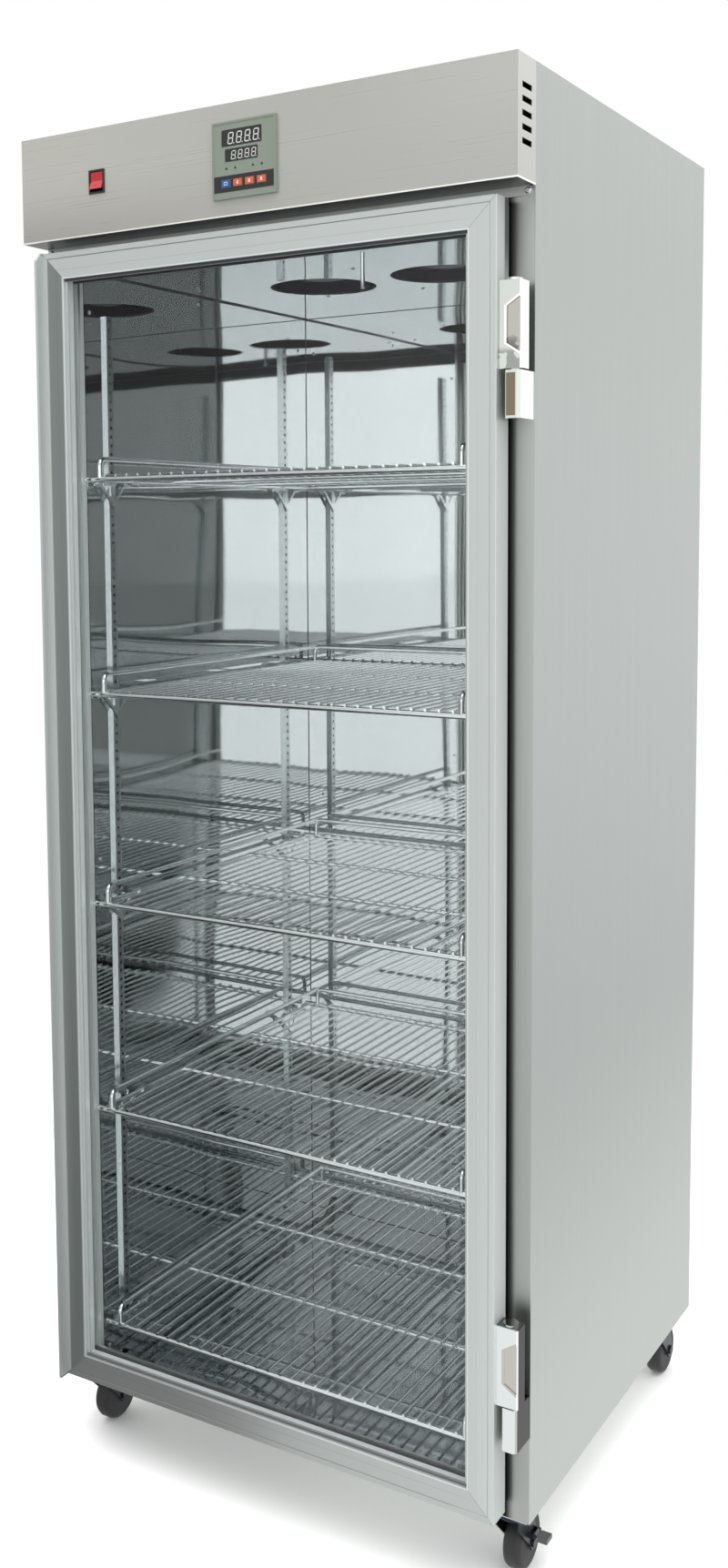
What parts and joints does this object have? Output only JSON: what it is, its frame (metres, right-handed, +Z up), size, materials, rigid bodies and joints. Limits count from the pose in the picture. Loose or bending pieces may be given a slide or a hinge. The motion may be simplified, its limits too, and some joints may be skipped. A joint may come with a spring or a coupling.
{
  "type": "blanket warming cabinet",
  "caption": "Tall insulated steel cabinet on castors with a full-height glazed door, wire shelves, ceiling fans and a header holding a temperature controller and a rocker switch.",
  "frame": {"origin": "on the floor, under the middle of the cabinet's overall size", "axes": "+Z up, -Y towards the person at the door, +X towards the hinge side of the door"},
  "size_m": [0.751, 0.732, 1.897],
  "materials": {
    "outer_steel": "satin",
    "header_steel": "satin",
    "liner_steel": "polished",
    "wool": "matte",
    "frame_aluminium": "satin",
    "pane": "polished",
    "spacer_aluminium": "satin",
    "seal_rubber": "matte",
    "gasket_rubber": "matte",
    "controller_plastic": "matte",
    "key_blue": "satin",
    "key_orange": "satin",
    "black_plastic": "satin",
    "rocker_red": "gloss",
    "wire_chrome": "polished",
    "zinc_steel": "satin",
    "hinge_chrome": "polished",
    "heater_steel": "satin",
    "motor_paint": "matte",
    "rotor_plastic": "matte",
    "gland_plastic": "matte",
    "castor_tyre": "matte"
  },
  "bodies": {
    "cabinet": {"side_panel_left": "outer_steel", "side_panel_right": "outer_steel", "back_panel": "outer_steel", "top_panel": "outer_steel", "base_panel": "outer_steel", "front_jambs": "outer_steel", "liner_left": "liner_steel", "liner_right": "liner_steel", "liner_back": "liner_steel", "liner_floor": "liner_steel", "liner_ceiling": "liner_steel", "insulation_slabs": "wool", "header_fascia": "header_steel", "fascia_rail": "outer_steel", "rail_screws": "zinc_steel", "controller_case": "controller_plastic", "switch_housing": "black_plastic", "fan_mounts": "motor_paint", "heater_elements": "heater_steel", "control_bulkhead": "outer_steel", "temperature_probe": "wire_chrome", "cable_gland": "gland_plastic", "hinge_brackets": "hinge_chrome", "shelf_strips": "zinc_steel", "shelf_clips": "zinc_steel", "shelf_1": "wire_chrome", "shelf_2": "wire_chrome", "shelf_3": "wire_chrome", "shelf_4": "wire_chrome", "shelf_5": "wire_chrome", "castor_plates": "zinc_steel"},
    "door": {"door_stile_left": "frame_aluminium", "door_stile_right": "frame_aluminium", "door_rail_top": "frame_aluminium", "door_rail_bottom": "frame_aluminium", "door_pull": "frame_aluminium", "glass_outer": "pane", "glass_inner": "pane", "glass_spacer": "spacer_aluminium", "glazing_seals": "seal_rubber", "door_gasket": "gasket_rubber", "hinge_leaves": "hinge_chrome"},
    "rocker": {"switch_rocker": "rocker_red"},
    "key_set": {"controller_key_set": "key_blue"},
    "key_shift": {"controller_key_shift": "key_orange"},
    "key_down": {"controller_key_down": "key_orange"},
    "key_up": {"controller_key_up": "key_orange"},
    "fan_left": {"fan_rotor_left": "rotor_plastic"},
    "pedal_left": {"castor_pedal_left": "zinc_steel"},
    "fan_right": {"fan_rotor_right": "rotor_plastic"},
    "pedal_right": {"castor_pedal_right": "zinc_steel"},
    "fork_front_right": {"castor_fork_front_right": "zinc_steel"},
    "wheel_front_right": {"castor_wheel_front_right": "castor_tyre"},
    "fork_front_left": {"castor_fork_front_left": "zinc_steel"},
    "wheel_front_left": {"castor_wheel_front_left": "castor_tyre"},
    "fork_rear_right": {"castor_fork_rear_right": "zinc_steel"},
    "wheel_rear_right": {"castor_wheel_rear_right": "castor_tyre"},
    "fork_rear_left": {"castor_fork_rear_left": "zinc_steel"},
    "wheel_rear_left": {"castor_wheel_rear_left": "castor_tyre"}
  },
  "joints": [
    {"name": "door_hinge", "type": "hinge", "parent": "cabinet", "child": "door", "pos_m": [0.3595, -0.334, 0.9], "axis": [0, 0, 1], "range_deg": [0, 110]},
    {"name": "rocker_tilt", "type": "hinge", "parent": "cabinet", "child": "rocker", "pos_m": [-0.24, -0.352, 1.8258], "axis": [1, 0, 0], "range_deg": [0, 20]},
    {"name": "key_set_press", "type": "slide", "parent": "cabinet", "child": "key_set", "axis": [0, 1, 0], "range_m": [0, 0.0008], "stiffness_N_per_m": 800},
    {"name": "key_shift_press", "type": "slide", "parent": "cabinet", "child": "key_shift", "axis": [0, 1, 0], "range_m": [0, 0.0008], "stiffness_N_per_m": 800},
    {"name": "key_down_press", "type": "slide", "parent": "cabinet", "child": "key_down", "axis": [0, 1, 0], "range_m": [0, 0.0008], "stiffness_N_per_m": 800},
    {"name": "key_up_press", "type": "slide", "parent": "cabinet", "child": "key_up", "axis": [0, 1, 0], "range_m": [0, 0.0008], "stiffness_N_per_m": 800},
    {"name": "fan_left_spin", "type": "hinge", "parent": "cabinet", "child": "fan_left", "pos_m": [-0.102, 0.009, 1.744], "axis": [0, 0, 1], "continuous": true},
    {"name": "fan_right_spin", "type": "hinge", "parent": "cabinet", "child": "fan_right", "pos_m": [0.102, 0.009, 1.744], "axis": [0, 0, 1], "continuous": true},
    {"name": "swivel_front_right", "type": "hinge", "parent": "cabinet", "child": "fork_front_right", "pos_m": [0.3365, -0.271, 0.0885], "axis": [0, 0, 1], "continuous": true},
    {"name": "roll_front_right", "type": "hinge", "parent": "fork_front_right", "child": "wheel_front_right", "pos_m": [0.3365, -0.246, 0.0375], "axis": [1, 0, 0], "continuous": true},
    {"name": "swivel_front_left", "type": "hinge", "parent": "cabinet", "child": "fork_front_left", "pos_m": [-0.3365, -0.271, 0.0885], "axis": [0, 0, 1], "continuous": true},
    {"name": "roll_front_left", "type": "hinge", "parent": "fork_front_left", "child": "wheel_front_left", "pos_m": [-0.3365, -0.246, 0.0375], "axis": [1, 0, 0], "continuous": true},
    {"name": "swivel_rear_right", "type": "hinge", "parent": "cabinet", "child": "fork_rear_right", "pos_m": [0.3365, 0.284, 0.0885], "axis": [0, 0, 1], "continuous": true},
    {"name": "roll_rear_right", "type": "hinge", "parent": "fork_rear_right", "child": "wheel_rear_right", "pos_m": [0.3365, 0.309, 0.0375], "axis": [1, 0, 0], "continuous": true},
    {"name": "swivel_rear_left", "type": "hinge", "parent": "cabinet", "child": "fork_rear_left", "pos_m": [-0.3365, 0.284, 0.0885], "axis": [0, 0, 1], "continuous": true},
    {"name": "roll_rear_left", "type": "hinge", "parent": "fork_rear_left", "child": "wheel_rear_left", "pos_m": [-0.3365, 0.309, 0.0375], "axis": [1, 0, 0], "continuous": true},
    {"name": "pedal_left_press", "type": "hinge", "parent": "fork_front_left", "child": "pedal_left", "pos_m": [-0.357, -0.246, 0.05], "axis": [0, -1, 0], "range_deg": [0, 25]},
    {"name": "pedal_right_press", "type": "hinge", "parent": "fork_front_right", "child": "pedal_right", "pos_m": [0.357, -0.246, 0.05], "axis": [0, 1, 0], "range_deg": [0, 25]}
  ]
}
